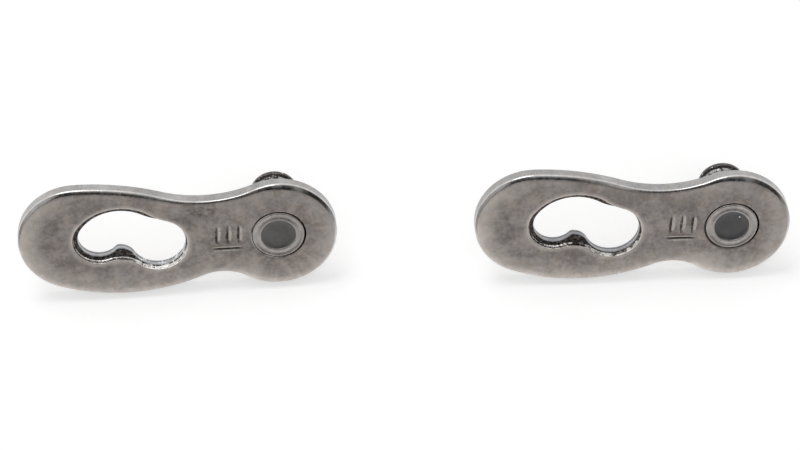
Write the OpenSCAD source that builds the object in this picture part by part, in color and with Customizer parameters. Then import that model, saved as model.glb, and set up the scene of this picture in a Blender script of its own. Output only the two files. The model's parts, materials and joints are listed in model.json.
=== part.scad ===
// Quick connecting link of a bicycle chain, uncoupled: two like halves side by side.
// Each half is a stamped outer plate and the pin riveted into it. A half leans back
// on the lower edges of its plate's two lobes and on the tip of its pin.
// A half is drawn with its pin's axis on Z, the plate's outer face at z = 0 facing +Z,
// and the keyhole towards -X. half_at_rest() then lays it on the ground.

/* [Plate] */
// Distance between the pin and the keyhole's seat, half an inch
pitch = 12.7; // [12.3:0.1:13.1]
// Thickness of the plate
plate_t = 1; // [0.85:0.05:1.15]
// Radius of the lobe round the pin
pin_lobe_r = 4.2; // [3.8:0.1:4.6]
// Radius of the rounded end behind the keyhole
slot_lobe_r = 4.2; // [3.9:0.1:4.5]
// Distance from the keyhole's seat to the centre of that end
slot_lobe_back = 1.54; // [1.2:0.02:1.9]
// Height of that centre above the line through pin and seat
slot_lobe_up = 0.12; // [0:0.02:0.3]
// Radius of the plate's long upper edge
back_r = 18.3; // [15:0.1:22]
// Angle at which the upper edge runs into the rounded end
back_turn = 92; // [90:0.5:95]
// Radius of the plate's full lower edge, under the keyhole
belly_r = 13.6; // [11:0.1:16]
// Angle at which the rounded end runs into the lower edge
belly_turn = 250.5; // [246:0.5:254]
// Radius of the hollow in the upper edge
top_waist_r = 9.3; // [8:0.1:12]
// Radius of the hollow in the lower edge
bottom_waist_r = 3.2; // [2.6:0.1:4]
// Bevel round the outer face
face_bevel = 0.15; // [0.08:0.01:0.2]

/* [Keyhole] */
// Radial play of the other half's neck in the seat
seat_play = 0.08; // [0.04:0.01:0.15]
// Radial play of the other half's tip in the entry
entry_play = 0.28; // [0.2:0.01:0.35]
// Radial play of the tip in the recess round the seat
recess_play = 0.2; // [0.12:0.01:0.25]
// Thickness of the ledge that the tip hooks over
ledge_t = 0.6; // [0.5:0.02:0.7]
// Distance from the seat to the centre of the entry, towards the pin
entry_x = 4.15; // [4:0.05:4.3]
// Drop of the entry's centre below the line through pin and seat
entry_drop = 0.5; // [0.4:0.02:0.6]
// Distance from the seat to the centre of the throat
throat_x = 2.13; // [2:0.01:2.25]
// Height of the throat's centre above that line
throat_up = 0.4; // [0.3:0.02:0.46]
// Radius of the throat
throat_r = 1.77; // [1.7:0.01:1.84]
// Radius of the arch between seat and throat
arch_r = 3.3; // [3.2:0.05:3.6]
// Radius of the shallow nose between throat and entry
nose_r = 4.3; // [3.6:0.1:5]
// Radius of the bump between seat and entry
bump_r = 1.15; // [1.1:0.01:1.2]
// Angle at which the entry runs into the bump
bump_turn = 209.5; // [208.5:0.5:210]
// Radius of the bump's corner, where it meets the seat
corner_r = 0.3; // [0.22:0.02:0.36]
// Bevel round the recess, at the outer face
lip_bevel = 0.15; // [0.1:0.01:0.2]
// Radius of the bump in the recess's rim
recess_bump_r = 2.2; // [1.8:0.1:2.6]
// Width of the ledge at the top of the throat
ledge_at_throat = 0.43; // [0.36:0.01:0.46]
// Width of the ledge round the entry
ledge_at_entry = 0.12; // [0.06:0.01:0.2]

/* [Pin] */
// Clear width between the two outer plates when the link is coupled
gap_w = 3.7; // [3.4:0.1:4]
// Radius of the pin
pin_r = 1.7; // [1.62:0.01:1.78]
// Radius of the neck behind the tip
neck_r = 1.45; // [1.38:0.01:1.5]
// Axial play of the neck over the ledge
neck_play = 0.1; // [0.04:0.01:0.15]
// Chamfer round the tip
tip_chamfer = 0.1; // [0.05:0.01:0.15]
// Radius of the riveted end, which spreads towards the plate's outer face
head_r = 1.88; // [1.84:0.01:1.95]
// Chamfer round the riveted end
head_edge = 0.06; // [0.03:0.01:0.1]
// Open line between the riveted end and the plate, at the outer face
head_gap = 0.09; // [0.05:0.01:0.15]
// Radius of the blind recess in the riveted end
dimple_r = 1.25; // [1.15:0.01:1.3]
// Depth of the blind recess in the riveted end
dimple_depth = 0.12; // [0.05:0.01:0.4]
// Depth of the ring rolled into the rim round the recess
ring_depth = 0.06; // [0.03:0.01:0.1]
// Share of that rim that the ring takes
ring_share = 0.7; // [0.5:0.05:0.8]
// Radial play of the pin in the plate's hole, at the inner face
rivet_play = 0.01; // [0.005:0.005:0.02]

/* [Pair] */
// Left half's pin, to the right of the middle
left_x = -9.03; // [-12:0.01:-8]
// Left half's pin, behind the middle
left_y = -2.32; // [-4:0.01:0]
// Step to the right from the left half's pin to the right half's
step_x = 32.3; // [28:0.1:38]
// Step back from the left half's pin to the right half's
step_y = 2.6; // [0:0.1:6]
// Turn of the left half on the ground
left_turn = 7.9; // [0:0.1:15]
// Turn of the right half on the ground
right_turn = 5.7; // [0:0.1:15]

/* [Hidden] */
$fn = 96;
STEEL = [0.46, 0.44, 0.42];
PIN_STEEL = [0.4, 0.39, 0.38];
LEFT_OF = 1;
RIGHT_OF = -1;
OVER = 0.5;     // how far a cut runs past the face it opens
SEAM = 0.0005;  // how far a band is let into the arcs that it meets
WAIST_SEAM = 0.0015;    // how far a hollow is let into the arcs that it meets
RUN_ON = 3;     // degrees by which a band runs on under its neighbour

seat = [-pitch, 0];
entry = seat + [entry_x, -entry_drop];
throat = seat + [throat_x, throat_up];
seat_r = neck_r + seat_play;
entry_r = pin_r + entry_play;
recess_depth = plate_t - ledge_t;

pin_l = 2 * plate_t + gap_w;            // the tip ends flush with the other half's outer face
neck_start = plate_t + gap_w - neck_play;
neck_end = neck_start + ledge_t + neck_play;
hole_r = pin_r + rivet_play;            // at the inner face
hole_mouth_r = head_r + head_gap;       // at the outer face
ring_mid = (dimple_r + head_r) / 2;
ring_half = ring_share * (head_r - dimple_r) / 2;
ring_cut_r = (ring_half * ring_half + ring_depth * ring_depth) / (2 * ring_depth);

// ---- plane geometry -------------------------------------------------------------

function toward(a) = [cos(a), sin(a)];
function heading(from, to) = atan2(to.y - from.y, to.x - from.x);

// Centre of a circle that lies ra from point a and rb from point b, on one side of a-b
function centre_from(a, ra, b, rb, side) =
    let (d = norm(b - a), e = (b - a) / d, x = (ra * ra - rb * rb + d * d) / (2 * d))
    a + x * e + side * sqrt(ra * ra - x * x) * [-e.y, e.x];

// A rim is a list of arcs [centre, radius, first angle, last angle, bulges outward]
function arc(c, r, from, to, out) = [c, r, from, to < from ? to + 360 : to, out];

function plate_rim() =
    let (
        end = seat + [-slot_lobe_back, slot_lobe_up],
        back = end - (back_r - slot_lobe_r) * toward(back_turn),
        belly = end - (belly_r - slot_lobe_r) * toward(belly_turn),
        top = centre_from([0, 0], pin_lobe_r + top_waist_r, back, back_r + top_waist_r, RIGHT_OF),
        low = centre_from([0, 0], pin_lobe_r + bottom_waist_r, belly, belly_r + bottom_waist_r, LEFT_OF)
    )
    [
        arc([0, 0], pin_lobe_r, heading([0, 0], low), heading([0, 0], top), true),
        arc(top, top_waist_r, heading(top, back), heading(top, [0, 0]), false),
        arc(back, back_r, heading(back, top), back_turn, true),
        arc(end, slot_lobe_r, back_turn, belly_turn, true),
        arc(belly, belly_r, belly_turn, heading(belly, low), true),
        arc(low, bottom_waist_r, heading(low, [0, 0]), heading(low, belly), false)
    ];

// The rim over the top, from the seat to the entry, with its circles grown by what each is given
function upper_rim(seat_more, throat_more, entry_more) =
    let (
        sr = seat_r + seat_more,
        tr = throat_r + throat_more,
        er = entry_r + entry_more,
        ar = arch_r + throat_more,
        nr = nose_r - entry_more,
        arch = centre_from(seat, ar - sr, throat, ar - tr, RIGHT_OF),
        nose = centre_from(throat, tr + nr, entry, er + nr, LEFT_OF)
    )
    [
        arc(arch, ar, heading(arch, throat), heading(arch, seat), false),
        arc(throat, tr, heading(throat, nose), heading(arch, throat), false),
        arc(nose, nr, heading(nose, throat), heading(nose, entry), true)
    ];

// The rim of the way through: seat, arch, throat, nose, entry, bump and the bump's corner
function way_rim() =
    let (
        upper = upper_rim(0, 0, 0),
        bump = entry + (entry_r + bump_r) * toward(bump_turn),
        corner = centre_from(seat, seat_r + corner_r, bump, bump_r - corner_r, LEFT_OF)
    )
    [
        arc(seat, seat_r, heading(upper[0][0], seat), heading(seat, corner), false),
        upper[0], upper[1], upper[2],
        arc(entry, entry_r, bump_turn, heading(entry, upper[2][0]), false),
        arc(bump, bump_r, bump_turn - 180, heading(bump, corner), true),
        arc(corner, corner_r, heading(bump, corner), heading(corner, seat), true)
    ];

// The rim of the recess in which the other half's tip sinks, with one bump
function recess_rim() =
    let (
        sr = pin_r + recess_play,
        er = entry_r + ledge_at_entry,
        upper = upper_rim(sr - seat_r, ledge_at_throat, ledge_at_entry),
        bump = centre_from(seat, sr + recess_bump_r, entry, er + recess_bump_r, RIGHT_OF)
    )
    [
        arc(seat, sr, heading(upper[0][0], seat), heading(seat, bump), false),
        upper[0], upper[1], upper[2],
        arc(entry, er, heading(entry, bump), heading(entry, upper[2][0]), false),
        arc(bump, recess_bump_r, heading(bump, entry), heading(bump, seat), true)
    ];

module disc(a, more = 0) translate(a[0]) circle(r = a[1] + more);

// The band under an arc, cut from the arc's own circle and this deep, and run on at
// its first and last angle by the given degrees
module band(a, depth, on_first, on_last) {
    first = a[2] - on_first;
    last = a[3] + on_last;
    inner = a[1] - depth;
    outer = a[1] / cos((last - first) / 2) + OVER;
    intersection() {
        disc(a, -SEAM);
        polygon([
            a[0] + inner * toward(first), a[0] + outer * toward(first),
            a[0] + outer * toward(last), a[0] + inner * toward(last)
        ]);
    }
}

// Half section of the plate's edge, out to radius r and in by the given depth
module edge_section(r, depth) {
    low = -plate_t - OVER;
    polygon([[r - depth, 0], [r - face_bevel, 0], [r, -face_bevel], [r, low], [r - depth, low]]);
}

// Half section of a cut that widens by a bevel at the face, or narrows by a negative one
module cut_section(r, inner, bevel, depth) {
    polygon([
        [inner, OVER], [r + bevel, OVER], [r + bevel, 0], [r, -abs(bevel)], [r, -depth],
        [inner, -depth]
    ]);
}

module at_centre(a) translate([a[0].x, a[0].y, 0]) children();

module lobe(a) at_centre(a) rotate_extrude() edge_section(a[1], a[1]);

module flank(a, on_first, on_last) {
    at_centre(a) rotate([0, 0, a[2] - on_first])
        rotate_extrude(angle = a[3] - a[2] + on_first + on_last)
            edge_section(a[1] - SEAM, slot_lobe_r + OVER);
}

module round_cut(a, more, bevel, depth) {
    at_centre(a) rotate_extrude() cut_section(a[1] + more, 0, bevel, depth);
}

// The plate before its holes and its inner face are cut
module blank() {
    rim = plate_rim();
    pin_lobe = rim[0];
    top = rim[1];
    back = rim[2];
    end = rim[3];
    belly = rim[4];
    low = rim[5];
    lobe(pin_lobe);
    lobe(end);
    flank(back, RUN_ON, 0);
    flank(belly, 0, RUN_ON);
    difference() {
        translate([0, 0, -plate_t - OVER]) linear_extrude(plate_t + OVER) polygon([
            pin_lobe[0], top[0], back[0] + (back_r - OVER) * toward(back[2]), end[0],
            belly[0] + (belly_r - OVER) * toward(belly[3]), low[0]
        ]);
        round_cut(top, WAIST_SEAM, face_bevel, plate_t + 2 * OVER);
        round_cut(low, WAIST_SEAM, face_bevel, plate_t + 2 * OVER);
    }
}

// The recess in which the other half's tip sinks
module recess() {
    rim = recess_rim();
    for (i = [0, 2, 4]) round_cut(rim[i], 0, lip_bevel, recess_depth);
    arch = rim[1];
    at_centre(arch) rotate([0, 0, arch[2]]) rotate_extrude(angle = arch[3] - arch[2])
        cut_section(arch[1] - SEAM, arch[1] - rim[0][1] - OVER / 2, lip_bevel, recess_depth);
    difference() {
        translate([0, 0, -recess_depth]) linear_extrude(recess_depth + OVER)
            polygon([rim[0][0], rim[2][0], rim[3][0], rim[4][0], rim[5][0]]);
        round_cut(rim[3], WAIST_SEAM, -lip_bevel, recess_depth + OVER);
        round_cut(rim[5], WAIST_SEAM, -lip_bevel, recess_depth + OVER);
    }
}

// The way through the keyhole
module way_2d() {
    rim = way_rim();
    corner = rim[6];
    for (i = [0, 2, 4]) disc(rim[i]);
    band(rim[1], rim[0][1] + OVER / 2, 0, 0);
    difference() {
        polygon([rim[0][0], rim[2][0], rim[3][0], rim[4][0], rim[5][0]]);
        disc(rim[3], WAIST_SEAM);
        disc(rim[5], WAIST_SEAM);
    }
    difference() {
        polygon([corner[0], corner[0] + seat_r * toward(corner[2]), seat]);
        disc(corner, WAIST_SEAM);
    }
}

// ---- plate ----------------------------------------------------------------------

// Half section of the countersunk hole that the pin is riveted in
module rivet_hole_section() {
    polygon([
        [0, OVER], [0, -plate_t - OVER], [hole_r, -plate_t - OVER], [hole_r, -plate_t],
        [hole_mouth_r, 0], [hole_mouth_r, OVER]
    ]);
}

module plate() {
    color(STEEL) difference() {
        blank();
        translate([-pitch / 2, 0, -plate_t - 2 * OVER]) cylinder(r = 2 * pitch, h = 2 * OVER);
        translate([0, 0, -plate_t - OVER]) linear_extrude(plate_t + 2 * OVER)
            way_2d();
        recess();
        rotate_extrude() rivet_hole_section();
    }
}

// ---- pin ------------------------------------------------------------------------

// Half section: x is the radius, y the height along the axis
module pin_section() {
    difference() {
        polygon([
            [0, -dimple_depth], [dimple_r, -dimple_depth], [dimple_r, 0],
            [head_r - head_edge, 0], [head_r, -head_edge], [pin_r, -plate_t],
            [pin_r, -neck_start], [neck_r, -neck_start],
            [neck_r, -neck_end], [pin_r, -neck_end], [pin_r, -pin_l + tip_chamfer],
            [pin_r - tip_chamfer, -pin_l], [0, -pin_l]
        ]);
        translate([ring_mid, ring_cut_r - ring_depth]) circle(r = ring_cut_r);
    }
}

module pin() {
    color(PIN_STEEL) rotate_extrude() pin_section();
}

// ---- pair -----------------------------------------------------------------------

// Turn of the plate in its own plane that brings both lobes' lower edges to the ground
belly_arc = plate_rim()[4];
ground_turn = 270 - heading([0, 0], belly_arc[0])
    - acos((pin_lobe_r - belly_r) / norm(belly_arc[0]));
// Lean that brings the pin's tip to the ground as well
lean = atan((pin_lobe_r - pin_r) / (pin_l - tip_chamfer - plate_t));
pin_height = pin_lobe_r * cos(lean) + plate_t * sin(lean);
left_place = [left_x, left_y];
right_place = left_place + [step_x, step_y];

module half_at_rest(place, turn) {
    translate([place.x, place.y, pin_height]) rotate([90 - lean, 0, turn])
        rotate([0, 0, ground_turn]) children();
}

module left_plate() half_at_rest(left_place, left_turn) plate();
module left_pin() half_at_rest(left_place, left_turn) pin();
module right_plate() half_at_rest(right_place, right_turn) plate();
module right_pin() half_at_rest(right_place, right_turn) pin();

left_plate();
left_pin();
right_plate();
right_pin();
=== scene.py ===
"""Looks of the uncoupled chain link: two stamped plates with riveted pins on a pale floor.

The halves are built in mm in a frame of their own: the pin's axis is Z, the plate's outer face
is at z = 0 and the keyhole lies towards -X. Floor, light, cards and camera are in metres.
"""

import json
import math
from collections import namedtuple

import bpy
import numpy as np
from mathutils import Matrix, Vector
from mathutils.geometry import delaunay_2d_cdt


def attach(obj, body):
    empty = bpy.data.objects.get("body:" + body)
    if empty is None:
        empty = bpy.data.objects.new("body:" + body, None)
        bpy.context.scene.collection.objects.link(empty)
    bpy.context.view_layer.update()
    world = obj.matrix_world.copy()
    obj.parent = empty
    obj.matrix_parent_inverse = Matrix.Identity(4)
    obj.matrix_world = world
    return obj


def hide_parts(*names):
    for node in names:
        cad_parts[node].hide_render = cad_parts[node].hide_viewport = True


MM = 0.001
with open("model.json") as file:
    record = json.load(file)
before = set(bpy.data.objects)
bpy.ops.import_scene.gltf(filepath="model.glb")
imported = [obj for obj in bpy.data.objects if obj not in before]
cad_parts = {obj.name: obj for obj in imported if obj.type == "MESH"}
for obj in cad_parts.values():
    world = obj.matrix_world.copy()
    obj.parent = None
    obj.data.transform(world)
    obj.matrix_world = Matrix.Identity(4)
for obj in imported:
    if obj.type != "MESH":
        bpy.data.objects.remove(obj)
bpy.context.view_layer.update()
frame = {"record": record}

# ---- sizes of a half, as in the CAD source -----------------------------------------------

PITCH = 12.7
PLATE_T = 1.0
PIN_LOBE_R = 4.2
END_R = 4.2
END_BACK, END_UP = 1.54, 0.12
BACK_R, BACK_TURN = 18.3, 92.0
BELLY_R, BELLY_TURN = 13.6, 250.5
TOP_WAIST_R, LOW_WAIST_R = 9.3, 3.2
SEAT_R, ENTRY_R, THROAT_R = 1.53, 1.98, 1.77
ARCH_R, NOSE_R = 3.3, 4.3
BUMP_R, BUMP_TURN, CORNER_R = 1.15, 209.5, 0.3
RECESS_MORE = (0.37, 0.43, 0.12)  # how far the recess lies outside seat, throat and entry
RECESS_BUMP_R = 2.2
RECESS_DEPTH = 0.4
PIN_R, NECK_R = 1.7, 1.45
PIN_L, NECK_START, NECK_END = 5.7, 4.6, 5.3
HOLE_R, DIMPLE_R = 1.71, 1.25
SEAT = np.array([-PITCH, 0.0])
ENTRY = SEAT + [4.15, -0.5]
THROAT = SEAT + [2.13, 0.4]

# The open line round the head is 0.035 wider here than in the source, as it shows in the photo.
HEAD_R, MOUTH_R = 1.865, 1.99

# ---- rims made of tangent arcs -----------------------------------------------------------

SPACING, LEAST_POINTS = 0.09, 4  # distance between points along a rim, and the least on an arc
LEFT_OF, RIGHT_OF = 1, -1
TINY = 1e-12  # keeps a level stretch of a loop from dividing by zero

# An arc runs counterclockwise from the heading first to last, in degrees. Where it bulges, the
# open side is outside its circle, otherwise inside.
Arc = namedtuple("Arc", "centre r first last bulges")


def toward(deg):
    """The unit vector at an angle."""
    return np.array([math.cos(math.radians(deg)), math.sin(math.radians(deg))])


def heading(a, b):
    """The angle of the way from a to b."""
    return math.degrees(math.atan2(b[1] - a[1], b[0] - a[0]))


def centre_from(a, ra, b, rb, side):
    """The point ra away from a and rb away from b, on one side of the way from a to b."""
    d = np.linalg.norm(b - a)
    e = (b - a) / d
    x = (ra * ra - rb * rb + d * d) / (2 * d)
    return a + x * e + side * math.sqrt(ra * ra - x * x) * np.array([-e[1], e[0]])


def arc(centre, r, first, last, bulges):
    return Arc(centre, r, first, last + 360 if last < first else last, bulges)


def plate_rim():
    """The outline: pin's lobe, top waist, back, end, belly and low waist."""
    pin = np.zeros(2)
    end = SEAT + [-END_BACK, END_UP]
    back = end - (BACK_R - END_R) * toward(BACK_TURN)
    belly = end - (BELLY_R - END_R) * toward(BELLY_TURN)
    top = centre_from(pin, PIN_LOBE_R + TOP_WAIST_R, back, BACK_R + TOP_WAIST_R, RIGHT_OF)
    low = centre_from(pin, PIN_LOBE_R + LOW_WAIST_R, belly, BELLY_R + LOW_WAIST_R, LEFT_OF)
    return [
        arc(pin, PIN_LOBE_R, heading(pin, low), heading(pin, top), True),
        arc(top, TOP_WAIST_R, heading(top, back), heading(top, pin), False),
        arc(back, BACK_R, heading(back, top), BACK_TURN, True),
        arc(end, END_R, BACK_TURN, BELLY_TURN, True),
        arc(belly, BELLY_R, BELLY_TURN, heading(belly, low), True),
        arc(low, LOW_WAIST_R, heading(low, pin), heading(low, belly), False),
    ]


def upper_rim(seat_more, throat_more, entry_more):
    """Arch, throat and nose, with the circles grown by what each is given."""
    sr, tr, er = SEAT_R + seat_more, THROAT_R + throat_more, ENTRY_R + entry_more
    ar, nr = ARCH_R + throat_more, NOSE_R - entry_more
    arch = centre_from(SEAT, ar - sr, THROAT, ar - tr, RIGHT_OF)
    nose = centre_from(THROAT, tr + nr, ENTRY, er + nr, LEFT_OF)
    return [
        arc(arch, ar, heading(arch, THROAT), heading(arch, SEAT), False),
        arc(THROAT, tr, heading(THROAT, nose), heading(arch, THROAT), False),
        arc(nose, nr, heading(nose, THROAT), heading(nose, ENTRY), True),
    ]


def way_rim():
    """The way through: seat, arch, throat, nose, entry, bump and the bump's corner."""
    upper = upper_rim(0, 0, 0)
    bump = ENTRY + (ENTRY_R + BUMP_R) * toward(BUMP_TURN)
    corner = centre_from(SEAT, SEAT_R + CORNER_R, bump, BUMP_R - CORNER_R, LEFT_OF)
    return [
        arc(SEAT, SEAT_R, heading(upper[0].centre, SEAT), heading(SEAT, corner), False),
        *upper,
        arc(ENTRY, ENTRY_R, BUMP_TURN, heading(ENTRY, upper[2].centre), False),
        arc(bump, BUMP_R, BUMP_TURN - 180, heading(bump, corner), True),
        arc(corner, CORNER_R, heading(bump, corner), heading(corner, SEAT), True),
    ]


def recess_rim():
    """The recess in which the other half's tip sinks, with one bump."""
    sr, er = SEAT_R + RECESS_MORE[0], ENTRY_R + RECESS_MORE[2]
    upper = upper_rim(*RECESS_MORE)
    bump = centre_from(SEAT, sr + RECESS_BUMP_R, ENTRY, er + RECESS_BUMP_R, RIGHT_OF)
    return [
        arc(SEAT, sr, heading(upper[0].centre, SEAT), heading(SEAT, bump), False),
        *upper,
        arc(ENTRY, er, heading(ENTRY, bump), heading(ENTRY, upper[2].centre), False),
        arc(bump, RECESS_BUMP_R, heading(bump, ENTRY), heading(bump, SEAT), True),
    ]


def counts(rim):
    """How many points each arc of the rim takes."""
    lengths = [math.radians(a.last - a.first) * a.r for a in rim]
    return [max(LEAST_POINTS, round(length / SPACING)) for length in lengths]


def rim_points(rim, numbers):
    """Points along the rim, with the open side on the right, and their normals to that side."""
    points, normals = [], []
    for (centre, r, first, last, bulges), n in zip(rim, numbers):
        ends = (first, last) if bulges else (last, first)
        for deg in np.linspace(*ends, n, endpoint=False):
            points.append(centre + r * toward(deg))
            normals.append(toward(deg) if bulges else -toward(deg))
    return np.array(points), np.array(normals)


def lobe_share(rim, numbers):
    """Along the rim, 1 on lobes and 0 in waists, with a smooth change."""
    sharp = np.repeat([float(a.bulges) for a in rim], numbers)
    return np.mean([np.roll(sharp, k) for k in range(-LOBE_REACH, LOBE_REACH + 1)], axis=0)


def inside(loop, p):
    """Which of the points p lie inside the closed loop."""
    a, b = loop, np.roll(loop, -1, 0)
    y, x = p[:, 1, None], p[:, 0, None]
    straddles = (a[None, :, 1] > y) != (b[None, :, 1] > y)
    dy = b[:, 1] - a[:, 1]
    dy = np.where(abs(dy) < TINY, TINY, dy)
    crossing = (b[:, 0] - a[:, 0])[None] * (y - a[None, :, 1]) / dy[None] + a[None, :, 0]
    return (straddles & (x < crossing)).sum(1) % 2 == 1


def between(loops, p):
    """Which of the points p lie inside the first loop and outside the others."""
    keep = inside(loops[0], p)
    for loop in loops[1:]:
        keep &= ~inside(loop, p)
    return keep


def nearest(loop, p):
    """Distance from each of the points p to the loop's nearest point, and its number."""
    squares = [((loop - q) ** 2).sum(1) for q in p]
    return np.sqrt([d.min() for d in squares]), np.array([d.argmin() for d in squares])


def lerp(a, b, t):
    """a where t is 0, b where it is 1."""
    return a + (b - a) * t


# ---- the mark struck into the face: a plain tally of three strokes over a bar ------------

STROKE_X = (-4.4, -3.62, -2.84)
STROKE_LOW, STROKE_HIGH = -0.55, 1.0
STROKE_LEAN = 0.03  # how far a stroke's top lies to the right of its foot
STROKES = [
    # start, end, half width of the steep side, half width of the gentle side, depth
    *(((x, STROKE_LOW), (x + STROKE_LEAN, STROKE_HIGH), 0.09, 0.26, 0.075) for x in STROKE_X),
    ((-4.72, -0.98), (-2.52, -0.94), 0.06, 0.08, 0.05),
]
END_FADE = 7  # a stroke has its full depth from 1/7 of its length on
FLANK_POWER = 1.3  # 1 for straight flanks, more for a sharper bottom and softer rims
BURR_H, BURR_AWAY, BURR_W = 0.012, 0.08, 0.09  # the raised line on either side of a stroke


def struck(p):
    """Height of the struck face at the points p. On its way, a stroke is steep to the left."""
    z = np.zeros(len(p))
    for start, end, steep, gentle, depth in STROKES:
        a, b = np.array(start), np.array(end)
        along = (b - a) / np.linalg.norm(b - a)
        t = np.clip(((p - a) @ (b - a)) / ((b - a) @ (b - a)), 0, 1)
        fade = np.clip(np.minimum(t, 1 - t) * END_FADE, 0, 1)
        away = p - (a + t[:, None] * (b - a))
        d = np.linalg.norm(away, axis=1)
        on_left = away @ np.array([-along[1], along[0]]) > 0
        half = np.where(on_left, steep, gentle)
        groove = -depth * fade * (1 - np.clip(d / half, 0, 1)) ** FLANK_POWER
        burr = BURR_H * np.exp(-(((d - half - BURR_AWAY) / BURR_W) ** 2))
        z = np.minimum(z, groove) + np.where(d > half, fade * burr, 0)
    return z


# ---- mesh helpers ------------------------------------------------------------------------

CLEAR = 0.1  # least distance of the points inside a face from its rims
SAME_POINT = 1e-7  # points nearer to each other than this are one


class Shell:
    """Points in mm, faces with their material numbers, and layers of paint by point."""

    def __init__(self):
        self.points, self.faces, self.looks, self.layers = [], [], [], {}

    def flat(self, numbers):
        """The points of these numbers, without their heights."""
        return np.array([self.points[i][:2] for i in numbers])

    def ring(self, flat, z):
        """Add the flat points at height z, and return their numbers."""
        start = len(self.points)
        z = np.broadcast_to(z, len(flat))
        self.points += [(float(x), float(y), float(h)) for (x, y), h in zip(flat, z)]
        return list(range(start, start + len(flat)))

    def bridge(self, upper, lower, look):
        """Join two rings of the same length."""
        for i in range(len(upper)):
            j = (i + 1) % len(upper)
            self.faces.append((upper[i], lower[i], lower[j], upper[j]))
            self.looks.append(look)

    def skirt(self, start, points, normals, profile, look):
        """From start on, join rings of the rim: moved out by d, at height z, for each (d, z)."""
        last = start
        for d, z in profile:
            now = self.ring(points + normals * np.reshape(d, (-1, 1)), z)
            self.bridge(last, now, look)
            last = now
        return last

    def fill(self, loops, extra, height, look, up):
        """A face inside the first and outside the other loops of point numbers.

        It goes through those of the extra points that lie in it and clear of its rims, at what
        height gives for them.
        """
        rings = [self.flat(loop) for loop in loops]
        extra = extra[between(rings, extra)]
        for ring in rings:
            extra = extra[nearest(ring, extra)[0] > CLEAR]
        added = self.ring(extra, height(extra))
        numbers = [i for loop in loops for i in loop] + added
        coords = [Vector(p) for ring in rings for p in ring] + [Vector(p) for p in extra]
        edges, at = [], 0
        for loop in loops:
            n = len(loop)
            edges += [(at + i, at + (i + 1) % n) for i in range(n)]
            at += n
        out = delaunay_2d_cdt(coords, edges, [], 0, SAME_POINT, True)
        # Its points, its triangles, and for each point the numbers of those it came from.
        flat, triangles, sources = np.array([tuple(v) for v in out[0]]), np.array(out[2]), out[3]
        for t in triangles[between(rings, flat[triangles].mean(1))]:
            a, b, c = flat[t]
            ccw = (b[0] - a[0]) * (c[1] - a[1]) - (b[1] - a[1]) * (c[0] - a[0]) > 0
            self.faces.append(tuple(numbers[sources[i][0]] for i in (t if ccw == up else t[::-1])))
            self.looks.append(look)

    def layer(self, patches):
        """Paint by point: 0 apart from the values that each patch gives from its first point on."""
        paint = np.zeros(len(self.points))
        for first, values in patches:
            paint[first:first + len(values)] = values
        return paint


def make_object(name, shell, materials, place):
    mesh = bpy.data.meshes.new(name)
    mesh.from_pydata([place @ (Vector(p) * MM) for p in shell.points], [], shell.faces)
    for m in materials:
        mesh.materials.append(m)
    mesh.polygons.foreach_set("material_index", shell.looks)
    mesh.polygons.foreach_set("use_smooth", [True] * len(shell.faces))
    for layer, strength in shell.layers.items():
        mesh.attributes.new(layer, "FLOAT", "POINT").data.foreach_set("value", strength)
    mesh.update()
    o = bpy.data.objects.new(name, mesh)
    bpy.context.scene.collection.objects.link(o)
    return o


def rounded(width, depth, steps):
    """A rounded corner from the face, width in from the rim, to the wall, depth down."""
    turns = [math.pi / 2 * i / steps for i in range(steps + 1)]
    return [(width * (math.sin(t) - 1), depth * (math.cos(t) - 1)) for t in turns]


def walk_width(steps):
    """How far a profile goes out, from the slope and length of each step."""
    return sum(length * math.cos(math.radians(deg)) for deg, length in steps)


def walked(steps):
    """The profile of such steps, with its end above the wall, at d = 0."""
    d, z, points = -walk_width(steps), 0.0, []
    for deg, length in steps:
        d, z = d + length * math.cos(math.radians(deg)), z - length * math.sin(math.radians(deg))
        points.append((d, z))
    return points


# ---- the plate ---------------------------------------------------------------------------

FACE, EDGE, WALL, STEP, LEDGE, BORE, BACK = range(7)

# The outside. The roll that stamping leaves, then the stamped edge from it down to the wall.
ROLL_W, ROLL_D = (0.45, 0.15), (0.035, 0.012)  # where the rim faces down, and where it faces up
ROLL_STEPS = 6
EDGE_WALK = (  # slope in degrees, length
    (18, 0.02), (32, 0.03), (41, 0.17), (50, 0.03), (60, 0.03), (70, 0.03), (80, 0.03),
)
LOW_EDGE = 0.45  # size of that edge where it faces down
LOBE_EDGE, WAIST_EDGE = 1.12, 0.62  # its size on lobes and in waists
LOBE_REACH = 20  # points on either side over which a lobe changes to a waist
FACET, LOBE_FACET = 41, 0.5  # slope of the step that looks dark, and how much longer it can be
UPWARD_POWER = 4  # how closely that is kept to where the rim faces up
PIN_LOBE_FROM, PIN_LOBE_BLEND = -5.0, 4.0  # the pin's lobe comes in from this x on, over so much
SHINE = (0.02, 0.04)  # how far the burnished edge runs down the wall, in two rings
WALL_ROWS = (0.3, 0.6, 0.94, 1.0)  # rings down the wall, in shares of its height
BACK_EDGE = 0.05
BACK_CORNER = ((-0.01, 0.025), (-0.03, 0.042))  # in and down from the wall's foot

# The keyhole: the recess's rounded lip, its step with a fillet at the foot, and the ledge.
LIP_TOP, LIP_LOW, LIP_SIDE = 0.16, 0.05, 0.07  # lip's width at top and foot, and more at sides
LIP_DEPTH, LIP_STEPS = 0.6, 6  # its depth in shares of that width, and its steps
FILLET, FILLET_SHARE = 0.12, 0.4  # its width, and the most of it in shares of the ledge
STEP_ROWS = ((0, -0.16), (0, -0.26), (0.15, -0.32), (0.5, -0.37))  # share of the fillet, height
LEDGE_ROWS = ((-0.05, -RECESS_DEPTH), (-0.02, -0.408))
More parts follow.
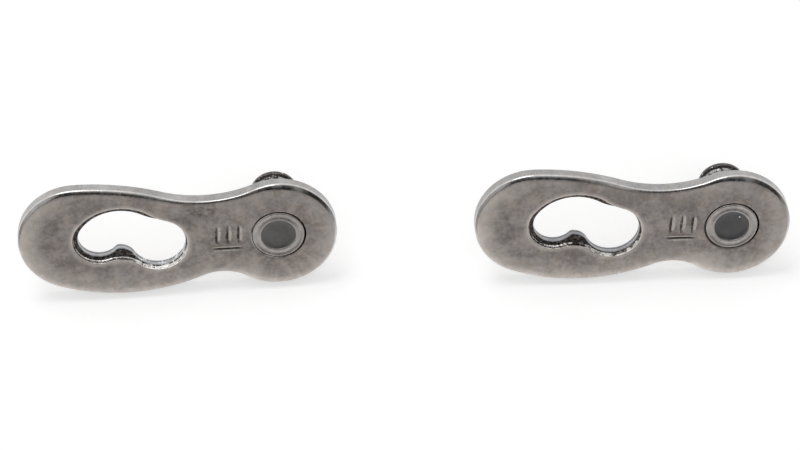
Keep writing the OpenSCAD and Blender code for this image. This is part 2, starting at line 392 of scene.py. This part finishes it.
# The wall of the way through, with the line where the punch tore off: offset, height, darkening.
BORE_WALK = (
    (0, -0.43, 0.5), (0, -0.45, 0.4), (0, -0.54, 0), (0, -0.72, 0), (-0.01, -0.76, 0.6),
    (-0.01, -0.85, 0.6), (0, -0.9, 0.1), (0, -0.95, 0), (-0.02, -0.985, 0),
)

# The hole that the pin is riveted in, with an open line round the head.
HOLE_POINTS = 144
MOUTH_LIP = (0.07, 0.03, 4)  # width, depth and steps of its rounding
GAP_TURN = 25.0  # the line is deepest towards this angle
GAP_IN, GAP_FALL = 0.004, 0.01  # its bottom starts so far in from the mouth, and falls so much
GAP_CLEAR = 0.006  # between its bottom and the head
UNDER_HEAD = (0.07, 0.1)  # in from the mouth, and down from that bottom
GAPS = {"left": (0.012, 0.3, 0.25), "right": (0.04, 0.22, 0.8)}  # least and most depth, least painted shade

# Points inside the faces.
COARSE, FINE = 0.3, 0.045  # steps of the grids over the plate and over the mark
MARK_FROM, MARK_TO = (-5.2, -1.7), (-1.95, 2.15)
LIP_ROWS = (0.26, 0.38)  # distances of two more rows round the recess

# Paint. The painted shade on the edge, a dark band, has a strength where the rim faces just
# left or right, and a gain towards where it faces up.
EDGE_SHADE_LEFT, EDGE_SHADE_RIGHT = (0.5, 2.5), (0.15, 1.3)
EDGE_SHADE_RINGS = (0.25, 0.75, 0.75, 0.25)  # share of that painted shade on the edge's first rings
WAIST_SHADE, END_SHADE = 0.5, 0.7  # shares of the painted shade left in waists, and away from the pin's lobe
RIM_WEAR_AND_SHEEN, RIM_WEAR_AND_SHEEN_REACH = 0.1, 1.75  # burnish and painted sheen along the rim, and how far in it reaches
SIDE_SHEEN = (((-1, 0), 0.78), ((1, 0), 0.3), ((0, -1), 0.16))  # more of that painted sheen, by where rims face
LIP_WEAR_AND_SHEEN, LIP_WEAR_AND_SHEEN_REACH = 0.7, 0.32  # burnish and a painted light band round the recess


def add_outside(s):
    """The plate's outside. Returns its rim and normals, face and back rings, and painted shade."""
    outer = plate_rim()
    p, n = rim_points(outer, counts(outer))
    high = 0.5 + 0.5 * n[:, 1]
    on_lobe = lobe_share(outer, counts(outer))
    near_pin = np.clip((p[:, 0] - PIN_LOBE_FROM) / PIN_LOBE_BLEND, 0, 1)
    size = lerp(LOW_EDGE, 1, high) * lerp(WAIST_EDGE, LOBE_EDGE, on_lobe)
    longer = 1 + LOBE_FACET * on_lobe * high**UPWARD_POWER * near_pin
    steps = [(deg, length * longer if deg == FACET else length) for deg, length in EDGE_WALK]
    wide, sink = lerp(*ROLL_W, high), lerp(*ROLL_D, high)
    rolled = [k / ROLL_STEPS for k in range(ROLL_STEPS + 1)]
    roll = [(-size * walk_width(steps) - wide * (1 - k), -sink * k**2) for k in rolled]
    corner = [(size * d, size * z - sink) for d, z in walked(steps)]
    top, low = corner[-1][1], -PLATE_T + BACK_EDGE
    face_ring = s.ring(p + n * roll[0][0][:, None], 0.0)
    at = s.skirt(face_ring, p, n, roll[1:], FACE)
    first_edge = len(s.points)
    at = s.skirt(at, p, n, [*corner, *((0, top - down) for down in SHINE)], EDGE)
    at = s.skirt(at, p, n, [(0, lerp(top - SHINE[1], low, k)) for k in WALL_ROWS], WALL)
    foot = [*((d, low - down) for d, down in BACK_CORNER), (-BACK_EDGE, -PLATE_T)]
    back_ring = s.skirt(at, p, n, foot, WALL)

    # Painted shade: a dark band on the edge's first rings, strongest where the rim faces up.
    base, gain = [np.where(n[:, 0] < 0, *both) for both in zip(EDGE_SHADE_LEFT, EDGE_SHADE_RIGHT)]
    dark = np.clip(base + gain * n[:, 1], 0, 1)
    dark = dark * lerp(WAIST_SHADE, 1, on_lobe) * lerp(END_SHADE, 1, near_pin)
    return p, n, face_ring, back_ring, (first_edge, np.outer(EDGE_SHADE_RINGS, dark).ravel())


def add_keyhole(s):
    """Recess and way through. Returns the same as add_outside, with the recess's rim."""
    way = way_rim()
    numbers = counts(way)
    p, n = rim_points(recess_rim(), [*numbers[:5], numbers[5] + numbers[6]])
    way_p, way_n = rim_points(way, numbers)
    lip = (LIP_TOP + LIP_LOW) / 2 + (LIP_LOW - LIP_TOP) / 2 * n[:, 1] + LIP_SIDE * abs(n[:, 0])
    lip_rows = [(lip * d, LIP_DEPTH * lip * z) for d, z in rounded(1, 1, LIP_STEPS)]
    fillet = np.minimum(FILLET, FILLET_SHARE * np.linalg.norm(way_p - p, axis=1))
    face_ring = s.ring(p + n * lip_rows[0][0][:, None], 0.0)
    at = s.skirt(face_ring, p, n, lip_rows[1:], FACE)
    at = s.skirt(at, p, n, [(share * fillet, z) for share, z in STEP_ROWS], STEP)
    at = s.skirt(at, p, n, [(fillet, -RECESS_DEPTH)], LEDGE)
    at = s.skirt(at, way_p, way_n, LEDGE_ROWS, LEDGE)
    first_bore = len(s.points)
    bore = [*((d, z) for d, z, _ in BORE_WALK), (-BACK_EDGE, -PLATE_T)]
    back_ring = s.skirt(at, way_p, way_n, bore, BORE)
    darkening = np.repeat([strength for _, _, strength in BORE_WALK], len(way_p))
    return p, n, face_ring, back_ring, (first_bore, darkening)


def add_rivet_hole(s, shallow, deepest, least_gap_shade):
    """The hole round the pin's head. Returns its rings at face and back, and painted shade."""
    p, n = rim_points([arc((0, 0), MOUTH_R, 0.0, 360.0, False)], [HOLE_POINTS])
    turned = 0.5 + 0.5 * (p @ toward(GAP_TURN)) / MOUTH_R
    deep = lerp(shallow, deepest, turned)
    mouth = rounded(*MOUTH_LIP)
    face_ring = s.ring(p + n * mouth[0][0], 0.0)
    at = s.skirt(face_ring, p, n, mouth[1:], FACE)
    # The open line's bottom carries painted shade, most of it towards GAP_TURN.
    first_gap = len(s.points)
    bottom = [(GAP_IN, -deep), (MOUTH_R - HEAD_R - GAP_CLEAR, -deep - GAP_FALL)]
    at = s.skirt(at, p, n, bottom, EDGE)
    foot = [(UNDER_HEAD[0], -deep - UNDER_HEAD[1]), (MOUTH_R - HOLE_R, -PLATE_T)]
    back_ring = s.skirt(at, p, n, foot, LEDGE)
    return face_ring, back_ring, (first_gap, np.tile(lerp(least_gap_shade, 1, turned), len(bottom)))


def grid(low, high, step):
    """Points of a square grid over the box from low to high."""
    return np.array([(x, y) for x in np.arange(low[0], high[0], step)
                     for y in np.arange(low[1], high[1], step)])


def flat_back(p):
    return np.full(len(p), -PLATE_T)


def plate_shell(gap):
    """A plate, with the open line round its pin from one of the GAPS."""
    s = Shell()
    p, n, face_ring, back_ring, edge_shade = add_outside(s)
    q, m, recess_ring, way_back, bore_darkening = add_keyhole(s)
    mouth_ring, hole_back, gap_shade = add_rivet_hole(s, *gap)

    face = s.flat(face_ring)
    coarse = grid(face.min(0), face.max(0), COARSE)
    off_mark = ((coarse < MARK_FROM) | (coarse > MARK_TO)).any(1)
    lip_rows = [q - m * away for away in LIP_ROWS]
    extra = np.vstack([*lip_rows, coarse[off_mark], grid(MARK_FROM, MARK_TO, FINE)])
    s.fill([face_ring, recess_ring, mouth_ring], extra, struck, FACE, True)
    s.fill([back_ring, way_back, hole_back], coarse, flat_back, BACK, False)

    flat = s.flat(range(len(s.points)))
    away, which = nearest(p, flat)
    # Burnish and painted sheen near the rims, most where they face left, less right and down.
    facing = [more * np.maximum(n[which] @ way_out, 0) for way_out, more in SIDE_SHEEN]
    rim_wear_and_sheen = (RIM_WEAR_AND_SHEEN + sum(facing)) * np.clip(1 - away / RIM_WEAR_AND_SHEEN_REACH, 0, 1)
    lip_wear_and_sheen = LIP_WEAR_AND_SHEEN * np.clip(1 - nearest(q, flat)[0] / LIP_WEAR_AND_SHEEN_REACH, 0, 1)
    s.layers["wear_and_sheen"] = np.maximum(rim_wear_and_sheen, lip_wear_and_sheen)
    s.layers["darkening"] = s.layer([edge_shade, bore_darkening, gap_shade])
    return s


# ---- the pin -----------------------------------------------------------------------------

DISC, RIM, SHANK, NECK, FLANGE = range(5)
PIN_SIDES = 144
DIMPLE_D = 0.12  # depth of the blind recess in the head
DIP, DIP_HALF = 0.036, 0.184  # depth and half width of the dip in the ring round that recess
DIP_MIDDLE = (DIMPLE_R + HEAD_R) / 2

# Turned about the axis: radius, height, and look of the band that ends there.
PIN_PROFILE = [
    (0.35, -DIMPLE_D, DISC),
    (0.8, -DIMPLE_D, DISC),
    (DIMPLE_R - 0.09, -DIMPLE_D + 0.005, DISC),
    (DIMPLE_R - 0.03, -DIMPLE_D + 0.03, DISC),
    # The dimple's wall keeps the disc's dark look almost to its top: painted shade round the disc.
    (DIMPLE_R - 0.005, -0.05, DISC),
    (DIMPLE_R, -0.025, DISC),
    (DIMPLE_R + 0.015, -0.012, RIM),
    (DIMPLE_R + 0.05, -0.002, RIM),
    (DIMPLE_R + 0.09, 0, RIM),
    *((DIP_MIDDLE + DIP_HALF * t, -DIP * (1 - t * t), RIM) for t in np.linspace(-0.8, 0.8, 9)),
    (HEAD_R - 0.1, 0, RIM),
    (HEAD_R - 0.05, -0.008, RIM),
    (HEAD_R - 0.012, -0.04, RIM),
    (HEAD_R, -0.09, RIM),
    (HEAD_R - 0.01, -0.2, SHANK),
    (PIN_R, -PLATE_T, SHANK),
    (PIN_R, -PLATE_T - 0.02, SHANK),
    (PIN_R, -NECK_START + 0.06, SHANK),
    (PIN_R - 0.02, -NECK_START + 0.02, SHANK),
    (PIN_R - 0.06, -NECK_START, SHANK),
    (NECK_R + 0.03, -NECK_START - 0.01, NECK),
    (NECK_R, -NECK_START - 0.04, NECK),
    (NECK_R, -NECK_END + 0.04, NECK),
    (NECK_R + 0.03, -NECK_END + 0.01, NECK),
    (PIN_R - 0.04, -NECK_END, FLANGE),
    (PIN_R - 0.01, -NECK_END - 0.01, FLANGE),
    (PIN_R, -NECK_END - 0.04, FLANGE),
    (PIN_R, -PIN_L + 0.12, FLANGE),
    (PIN_R - 0.03, -PIN_L + 0.05, FLANGE),
    (PIN_R - 0.08, -PIN_L + 0.01, FLANGE),
    (PIN_R - 0.14, -PIN_L, FLANGE),
    (0.9, -PIN_L, FLANGE),
    (0.3, -PIN_L, FLANGE),
]


def pin_shell():
    """The pin, closed at both ends."""
    s = Shell()
    circle = np.array([toward(360 * i / PIN_SIDES) for i in range(PIN_SIDES)])
    rings = [(s.ring(circle * r, z), look) for r, z, look in PIN_PROFILE]
    for (a, _), (b, look) in zip(rings, rings[1:]):
        s.bridge(a, b, look)
    ends = ((rings[0][0], -DIMPLE_D, True, DISC), (rings[-1][0], -PIN_L, False, FLANGE))
    for ring, z, up, look in ends:
        middle = s.ring(np.zeros((1, 2)), z)[0]
        for a, b in zip(ring, ring[1:] + ring[:1]):
            s.faces.append((middle, a, b) if up else (middle, b, a))
            s.looks.append(look)
    return s


# ---- materials ---------------------------------------------------------------------------


def rgb(r, g, b):
    return (r, g, b, 1.0)


def grey(value):
    return rgb(value, value, value)


THROUGH = 1000  # half size of an oval across the plate, so that depth doesn't count


class Nodes:
    """Builds a node tree. place is the half's own frame, for materials that lie in it."""

    def __init__(self, tree, place=None):
        self.tree, self.place = tree, place
        tree.nodes.clear()

    def put(self, socket, value):
        """Give the socket a value of its own, or a link where the value is another socket."""
        if isinstance(value, bpy.types.NodeSocket):
            self.tree.links.new(value, socket)
        else:
            socket.default_value = value

    def add(self, kind, values=None, **settings):
        node = self.tree.nodes.new(kind)
        for k, v in settings.items():
            setattr(node, k, v)
        for k, v in (values or {}).items():
            self.put(node.inputs[k], v)
        return node

    def mm(self, seed=0.0):
        """The half's own coordinates, in mm, moved by the seed."""
        values = {
            "Vector": self.add("ShaderNodeTexCoord").outputs["Object"],
            "Location": self.place.translation,
            "Rotation": self.place.to_euler(),
            "Scale": (MM, MM, MM),
        }
        own = self.add("ShaderNodeMapping", values, vector_type="TEXTURE").outputs[0]
        values = {0: own, 1: (seed, seed, seed)}
        return self.add("ShaderNodeVectorMath", values, operation="ADD").outputs[0]

    def noise(self, vector, scale, detail, rough, turn=None, stretch=None):
        """Noise with so many waves per mm, after the turn and the stretch if they are given."""
        if stretch:
            values = {"Vector": vector, "Rotation": turn, "Scale": stretch}
            vector = self.add("ShaderNodeMapping", values).outputs[0]
        values = {"Vector": vector, "Scale": scale, "Detail": detail, "Roughness": rough}
        return self.add("ShaderNodeTexNoise", values).outputs["Fac"]

    def span(self, value, a, b, c=0.0, d=1.0):
        """The value's range from a to b brought to c to d, and cut off beyond them."""
        values = {"Value": value, "From Min": a, "From Max": b, "To Min": c, "To Max": d}
        return self.add("ShaderNodeMapRange", values).outputs[0]

    def patch(self, middle, half, turn=0.0):
        """Distance from the middle of an oval in the plate's plane, 1 at its rim."""
        values = {
            "Vector": self.mm(),
            "Location": (*middle, 0),
            "Rotation": (0, 0, math.radians(turn)),
            "Scale": (*half, THROUGH),
        }
        where = self.add("ShaderNodeMapping", values, vector_type="TEXTURE").outputs[0]
        return self.add("ShaderNodeVectorMath", {0: where}, operation="LENGTH").outputs["Value"]

    def math(self, operation, a, b):
        return self.add("ShaderNodeMath", {0: a, 1: b}, operation=operation).outputs[0]

    def mix(self, share, a, b, blend="MIX"):
        node = self.add("ShaderNodeMix", data_type="RGBA", blend_type=blend)
        for i, v in ((0, share), (6, a), (7, b)):  # the node's sockets for colours
            self.put(node.inputs[i], v)
        return node.outputs[2]

    def glow(self, colour, strength):
        return self.add("ShaderNodeEmission", {"Color": colour, "Strength": strength}).outputs[0]

    def surface(self, shader, output="ShaderNodeOutputMaterial"):
        self.add(output, {"Surface": shader})


def new_material(name, place=None):
    m = bpy.data.materials.new(name)
    m.use_nodes = True
    return m, Nodes(m.node_tree, place)


# Noise: waves per mm, detail and roughness, and for some a turn and a stretch. Its range is
# where the effect comes in, and two more numbers are its strength at either end. TONES holds
# the noises that make up the blotches, each with its share.
SPECKLE, SPECKLE_RANGE = (3.4, 4, 0.62), (0.3, 0.7)
TONES = (((0.42, 3, 0.55), 0.3), ((1.5, 3, 0.6), 0.3), (SPECKLE, 0.25), ((11.0, 2, 0.6), 0.15))
COOL_NOISE, COOL_RANGE, COOL_SEED = (0.8, 3, 0.6), (0.4, 0.6), 9
FLECK_NOISE, FLECK_RANGE = (2.4, 5, 0.72), (0.64, 0.72)
LAYER_NOISE, LAYER_RANGE = (1.4, 3, 0.6), (0.3, 0.6, 0.75, 1.1)
NICK_NOISE, NICK_RANGE = (2.2, 4, 0.65, (0, 0, 0.15), (1.0, 1.9, 1.0)), (0.48, 0.62)
STROKE_NOISE, STROKE_RANGE = (2.6, 2, 0.55), (0.36, 0.5, 0.45, 1.0)
DARK_PATCH_NOISE, GLINT_NOISE = (2.2, 4, 0.65), (4.2, 3, 0.65)
SCRATCH = (2.0, 3, 0.6, (0.2, 0.1, 0.6), (1.0, 14.0, 6.0))
CROSS_SCRATCH = (2.0, 3, 0.6, (0.1, 0.3, -0.9), (1.0, 16.0, 6.0))
GRAIN_NOISE = (7.0, 4, 0.65)
SCRATCH_SHARE = 0.5  # of each scratch's height against the grain's
COOL, FLECK, NICK = (0.93, 0.985, 1.03), (0.1, 0.09, 0.085), (0.14, 0.12, 0.11)
SCUFF_CORE, STROKE_CORE, GLINT_CORE = 0.5, 0.65, 0.75  # share of an oval at full strength
ROUGH_LESS, ROUGH_MORE = 0.06, 0.08  # how far the speckle changes the roughness


def steel(name, place, seed, dark, light, rough, grain, spread=0.12, tint=0.5, flecks=None,
          layer=None, scuffs=None, strokes=(), dark_patches=None, glints=None):
    """Tumbled steel: blotches between two colours, fine speckle and hair scratches grain mm deep.

    spread is half the range of the blotches' noise, and tint the strength of the cool ones.
    What else is asked for comes on top, in this order:
    flecks: the strength of small dark spots.
    layer: the name and the colour of a layer of paint that the mesh holds by point.
    scuffs: the middle and the half size of an oval of dark nicks, and their strength.
    strokes: middle, half size, turn, colour and strength of each painted highlight and shade line.
    dark_patches: a colour, and the range of the noise over which they come in.
    glints: painted highlights: colour, range, share elsewhere and the ovals where they crowd.
    """
    m, n = new_material(name, place)
    p = n.mm(seed)
    noises = {noise: n.noise(p, *noise) for noise, _ in TONES}
    tone = None
    for noise, share in TONES:
        part = n.math("MULTIPLY", noises[noise], share)
        tone = n.math("ADD", tone, part) if tone else part
    colour = n.mix(n.span(tone, 0.5 - spread, 0.5 + spread), rgb(*dark), rgb(*light))
    cool = n.span(n.noise(n.mm(seed + COOL_SEED), *COOL_NOISE), *COOL_RANGE, 0.0, tint)
    colour = n.mix(cool, colour, rgb(*COOL), "MULTIPLY")
    if flecks:
        spots = n.span(n.noise(p, *FLECK_NOISE), *FLECK_RANGE)
        colour = n.mix(n.math("MULTIPLY", spots, flecks), colour, rgb(*FLECK))
    if layer:
        layer_name, paint = layer
        share = n.add("ShaderNodeAttribute", attribute_name=layer_name).outputs["Fac"]
        broken = n.span(n.noise(p, *LAYER_NOISE), *LAYER_RANGE)
        colour = n.mix(n.math("MULTIPLY", share, broken), colour, rgb(*paint))
    if scuffs:
        middle, half, strength = scuffs
        where = n.span(n.patch(middle, half), SCUFF_CORE, 1.0, strength, 0.0)
        nicks = n.math("MULTIPLY", n.span(n.noise(p, *NICK_NOISE), *NICK_RANGE), where)
        colour = n.mix(nicks, colour, rgb(*NICK))
    if strokes:
        wear_and_sheen = n.span(n.noise(p, *STROKE_NOISE), *STROKE_RANGE)
    # Painted highlight and shade along the struck strokes, broken up by noise.
    for middle, half, turn, paint, strength in strokes:
        line = n.span(n.patch(middle, half, turn), STROKE_CORE, 1.0, strength, 0.0)
        colour = n.mix(n.math("MULTIPLY", line, wear_and_sheen), colour, rgb(*paint))
    if dark_patches:
        paint, edges = dark_patches
        colour = n.mix(n.span(n.noise(p, *DARK_PATCH_NOISE), *edges), colour, rgb(*paint))
    if glints:
        paint, edges, crowd, *ovals = glints
        for oval in ovals:
            crowd = n.math("MAXIMUM", crowd, n.span(n.patch(*oval), GLINT_CORE, 1.0, 1.0, 0.0))
        spots = n.math("MULTIPLY", n.span(n.noise(p, *GLINT_NOISE), *edges), crowd)
        colour = n.mix(spots, colour, rgb(*paint))
    scratch = n.math("MULTIPLY", n.noise(p, *SCRATCH), SCRATCH_SHARE)
    cross = n.math("MULTIPLY", n.noise(p, *CROSS_SCRATCH), SCRATCH_SHARE)
    height = n.math("ADD", n.math("ADD", scratch, cross), n.noise(p, *GRAIN_NOISE))
    roughness = (rough - ROUGH_LESS, rough + ROUGH_MORE)
    values = {
        "Base Color": colour,
        "Metallic": 1.0,
        "Roughness": n.span(noises[SPECKLE], *SPECKLE_RANGE, *roughness),
        "Normal": n.add("ShaderNodeBump", {"Height": height, "Distance": grain * MM}).outputs[0],
    }
    n.surface(n.add("ShaderNodeBsdfPrincipled", values).outputs[0])
    return m


FACE_TONES = (0.276, 0.239, 0.219), (0.508, 0.449, 0.414)
# Paint colours: burnish with painted sheen, and the darkening, painted shade on edge and open line.
BURNISH_AND_SHEEN, DARKENING_PAINT = (0.93, 0.85, 0.785), (0.05, 0.045, 0.042)
GROOVE_SHADE, FLANK_HIGHLIGHT = (0.05, 0.043, 0.04), (0.88, 0.82, 0.75)  # a stroke's painted shade at the bottom and painted highlight on its flank
STROKE_MIDDLE, STROKE_HALF = (STROKE_LOW + STROKE_HIGH) / 2, (STROKE_HIGH - STROKE_LOW) / 2
STROKE_TURN, BAR_TURN = -1.1, 1.5
BAR_X = STROKE_X[1]
STROKE_LIGHT_AND_SHADE = [
    # middle, half size, turn, colour and strength of each painted highlight and shade line
    *(((x + 0.18, STROKE_MIDDLE), (0.14, STROKE_HALF), STROKE_TURN, FLANK_HIGHLIGHT, 0.6)
      for x in STROKE_X),
    ((BAR_X, -0.83), (1.2, 0.06), BAR_TURN, FLANK_HIGHLIGHT, 0.4),
    ((BAR_X, -1.14), (1.1, 0.08), BAR_TURN, FLANK_HIGHLIGHT, 0.45),
    *(((x - 0.02, STROKE_MIDDLE), (0.12, STROKE_HALF + 0.1), STROKE_TURN, GROOVE_SHADE, 0.97)
      for x in STROKE_X),
    ((BAR_X, -0.97), (1.18, 0.07), BAR_TURN, GROOVE_SHADE, 0.95),
]
STRAY = 0.15  # share of the painted glints outside the ovals where they crowd
# Ovals where painted glints crowd, at the entry and the seat's foot, and a painted glint on a head.
ENTRY_SHINE, SEAT_SHINE = ((-8.3, -2.4), (2.6, 2.3)), ((-12.9, -1.75), (1.75, 0.55))
HEAD_GLINT = ((0.51, 0.73), (0.07, 0.07))

# By half. The right one's keyhole is darker, with more dark patches, fewer painted glints and a
# darker bore.
SEEDS = {"left": 0.0, "right": 37.0}
BACK_SEED, PIN_SEED = 5, 3  # what the plate's back and the pin add to it
SCUFFS = {"left": ((-5.3, 2.3), (1.8, 0.75), 0.75), "right": ((-16.3, -1.9), (1.2, 0.8), 0.3)}
SHINES = {"left": (STRAY, ENTRY_SHINE), "right": (STRAY,)}
STEP_DARK_PATCHES = {"left": (0.54, 0.58), "right": (0.47, 0.52)}
BORE_TONES = {
    "left": ((0.3, 0.3, 0.305), (0.55, 0.55, 0.56)),
    "right": ((0.2, 0.2, 0.212), (0.44, 0.44, 0.458)),
}
DISC_TONES = {
    "left": ((0.165, 0.158, 0.15), (0.235, 0.226, 0.216)),
    "right": ((0.125, 0.122, 0.124), (0.185, 0.18, 0.182)),
}
DISC_GLINTS = {"left": None, "right": ((0.9, 0.9, 0.88), (0.0, 0.1), 0.0, HEAD_GLINT)}


def plate_looks(side, place):
    """The plate's materials, in the order of FACE, EDGE, WALL, STEP, LEDGE, BORE and BACK."""
    seed, shining = SEEDS[side], SHINES[side]
    flat = {"grain": 0.005, "spread": 0.07, "tint": 0.8}
    return (
        steel(f"{side}_face", place, seed, *FACE_TONES, rough=0.36, **flat, flecks=0.5,
              layer=("wear_and_sheen", BURNISH_AND_SHEEN), scuffs=SCUFFS[side], strokes=STROKE_LIGHT_AND_SHADE),
        steel(f"{side}_edge", place, seed, (0.5, 0.475, 0.455), (0.7, 0.675, 0.655),
              rough=0.22, grain=0.0006, layer=("darkening", DARKENING_PAINT)),
        steel(f"{side}_wall", place, seed, (0.3, 0.287, 0.277), (0.48, 0.465, 0.452),
              rough=0.28, grain=0.007),
        steel(f"{side}_step", place, seed, (0.5, 0.47, 0.44), (0.85, 0.82, 0.78),
              rough=0.25, grain=0.02, dark_patches=((0.06, 0.05, 0.045), STEP_DARK_PATCHES[side]),
              glints=((0.97, 0.95, 0.92), (0.47, 0.55), *shining, SEAT_SHINE)),
        # The ledge is near-black: partly dirt, partly painted shade in the recess.
        steel(f"{side}_ledge", place, seed, (0.012, 0.01, 0.009), (0.13, 0.103, 0.09),
              rough=0.4, grain=0.04, glints=((0.95, 0.93, 0.9), (0.5, 0.57), *shining)),
        steel(f"{side}_bore", place, seed, *BORE_TONES[side], rough=0.3, grain=0.02,
              layer=("darkening", DARKENING_PAINT), glints=((0.95, 0.95, 0.95), (0.58, 0.64), *shining)),
        steel(f"{side}_back", place, seed + BACK_SEED, *FACE_TONES, rough=0.38, **flat,
              flecks=0.35),
    )


def pin_looks(side, place):
    """The pin's materials, in the order of DISC, RIM, SHANK, NECK and FLANGE."""
    seed = SEEDS[side] + PIN_SEED
    return (
        steel(f"{side}_disc", place, seed, *DISC_TONES[side], rough=0.45, grain=0.002,
              glints=DISC_GLINTS[side]),
        steel(f"{side}_rim", place, seed, (0.38, 0.345, 0.32), (0.66, 0.61, 0.575),
              rough=0.3, grain=0.003),
        steel(f"{side}_shank", place, seed, (0.42, 0.41, 0.4), (0.55, 0.54, 0.53),
              rough=0.26, grain=0.003),
        steel(f"{side}_neck", place, seed, (0.3, 0.285, 0.275), (0.62, 0.6, 0.58),
              rough=0.28, grain=0.02, dark_patches=((0.05, 0.045, 0.045), (0.5, 0.56))),
        steel(f"{side}_flange", place, seed, (0.05, 0.047, 0.047), (0.13, 0.12, 0.118),
              rough=0.28, grain=0.02, glints=((0.9, 0.88, 0.86), (0.62, 0.66), 1.0)),
    )


# ---- the halves --------------------------------------------------------------------------


def half_place(side):
    """Matrix of a half's own frame, from the mounts in the record."""
    mounts = {m["name"]: m for m in frame["record"]["mounts"]}
    pin, slot = mounts[side + "_shank"], mounts[side + "_keyhole"]
    w = -Vector(pin["axis"]).normalized()
    centre = Vector(pin["pos_m"]) + w * (PLATE_T + NECK_START) / 2 * MM
    u = centre - Vector(slot["pos_m"])
    u = (u - w * u.dot(w)).normalized()
    v = w.cross(u)
    return Matrix.Translation(centre) @ Matrix((u, v, w)).transposed().to_4x4()


pins = pin_shell()
for side in ("left", "right"):
    place = half_place(side)
    plates = plate_shell(GAPS[side])
    for name, shell, looks, slot in (
        ("plate", plates, plate_looks(side, place), "plate_steel"),
        ("pin", pins, pin_looks(side, place), "pin_steel"),
    ):
        piece = make_object(f"{side}_{name}_finished", shell, looks, place)
        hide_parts(f"{side}_{name}")
        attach(piece, "root")

# ---- floor and light ---------------------------------------------------------------------

WHITE = grey(1)
FLOOR_HALF, FLOOR_GREY = 1.5, 0.8
FLOOR_GLOW = 0.42  # added to the floor where it is seen or mirrored, so it lights nothing else
SKY, BACKDROP = 0.55, 1.0  # the world as a light, and as it is seen
KEY_AT, KEY_SIZE, KEY_POWER = Vector((-0.16, 0.22, 0.5)), (0.3, 0.22), 0.9


def seen_rays(n):
    """1 for rays that see what they meet, and 0 for those that only gather its light."""
    path = n.add("ShaderNodeLightPath").outputs
    seen = n.math("MAXIMUM", path["Is Camera Ray"], path["Is Glossy Ray"])
    return n.math("MAXIMUM", seen, path["Is Transmission Ray"])


def stage_sheet(name, corners, stuff):
    """A flat piece of the stage through the corners, and the nodes of its new material."""
    mesh = bpy.data.meshes.new(name)
    mesh.from_pydata(corners, [], [tuple(range(len(corners)))])
    sheet = bpy.data.objects.new(name, mesh)
    bpy.context.scene.collection.objects.link(sheet)
    m, n = new_material(f"{name}_{stuff}")
    mesh.materials.append(m)
    return sheet, n


corners = [(x * FLOOR_HALF, y * FLOOR_HALF, 0) for x, y in ((-1, -1), (1, -1), (1, 1), (-1, 1))]
_, n = stage_sheet("floor", corners, "paper")
paper = n.add("ShaderNodeBsdfDiffuse", {"Color": grey(FLOOR_GREY)}).outputs[0]
glow = n.glow(WHITE, n.math("MULTIPLY", seen_rays(n), FLOOR_GLOW))
n.surface(n.add("ShaderNodeAddShader", {0: paper, 1: glow}).outputs[0])

world = bpy.data.worlds.new("studio")
bpy.context.scene.world = world
world.use_nodes = True
n = Nodes(world.node_tree)
sky, white = [n.add("ShaderNodeBackground", {"Color": WHITE, "Strength": strength}).outputs[0]
              for strength in (SKY, BACKDROP)]
both = n.add("ShaderNodeMixShader", {0: seen_rays(n), 1: sky, 2: white}).outputs[0]
n.surface(both, "ShaderNodeOutputWorld")

lamp = bpy.data.lights.new("key", "AREA")
lamp.shape = "RECTANGLE"
lamp.size, lamp.size_y = KEY_SIZE
lamp.energy = KEY_POWER
key = bpy.data.objects.new("key", lamp)
bpy.context.scene.collection.objects.link(key)
aim = (-KEY_AT).to_track_quat("-Z", "Y").to_matrix().to_4x4()
key.matrix_world = Matrix.Translation(KEY_AT) @ aim

# ---- cards that only reflections see, for the dark side of the room ----------------------

ROOM_Y, ROOM_TOP, TABLE_Z = -0.32, 0.32, 0.0005
# The table is white up to about 3 mm in front of where each half stands, and grey from there on.
LEFT_TABLE = [
    (-0.3, ROOM_Y), (0.0, ROOM_Y), (0.0, -0.0055), (-0.005, -0.0058), (-0.029, -0.0091),
    (-0.3, -0.0091),
]
RIGHT_TABLE = [
    (0.0, ROOM_Y), (0.5, ROOM_Y), (0.5, -0.0034), (0.029, -0.0034), (0.005, -0.0056),
    (0.0, -0.0055),
]
CARDS = [
    # name, shade of grey, corners
    ("photographer", 0.03,
     [(-0.35, -0.62, 0.45), (0.35, -0.62, 0.45), (0.35, -0.1, 0.75), (-0.35, -0.1, 0.75)]),
    ("dark_room", 0.26,
     [(-0.3, ROOM_Y, 0), (0.5, ROOM_Y, 0), (0.5, ROOM_Y, ROOM_TOP), (-0.3, ROOM_Y, ROOM_TOP)]),
    ("right_wall", 0.1,
     [(0.4, -0.5, 0.05), (0.4, 0.0, 0.05), (0.4, 0.0, 0.5), (0.4, -0.5, 0.5)]),
    ("left_table", 0.64, [(x, y, TABLE_Z) for x, y in LEFT_TABLE]),
    ("right_table", 0.68, [(x, y, TABLE_Z) for x, y in RIGHT_TABLE]),
]

for name, shade, corners in CARDS:
    card, n = stage_sheet(name, corners, "cloth")
    card.visible_camera = card.visible_diffuse = False
    card.visible_shadow = card.visible_transmission = False
    n.surface(n.glow(grey(shade), 1.0))

# ---- camera ------------------------------------------------------------------------------

CAMERA_AT = Vector((-0.000691, -0.101333, 0.205968))
ELEVATION, AZIMUTH, ROLL = 63.566, 0.147, 3.158
LENS, SENSOR, NEAREST = 142.18, 36.0, 0.01

camera = bpy.data.objects.new("camera", bpy.data.cameras.new("camera"))
bpy.context.scene.collection.objects.link(camera)
camera.matrix_world = (
    Matrix.Translation(CAMERA_AT)
    @ Matrix.Rotation(math.radians(-AZIMUTH), 4, "Z")
    @ Matrix.Rotation(math.radians(90 - ELEVATION), 4, "X")
    @ Matrix.Rotation(math.radians(ROLL), 4, "Z")
)
camera.data.sensor_width = SENSOR
camera.data.lens = LENS
camera.data.clip_start = NEAREST
bpy.context.scene.camera = camera
bpy.context.scene.view_settings.view_transform = "Standard"
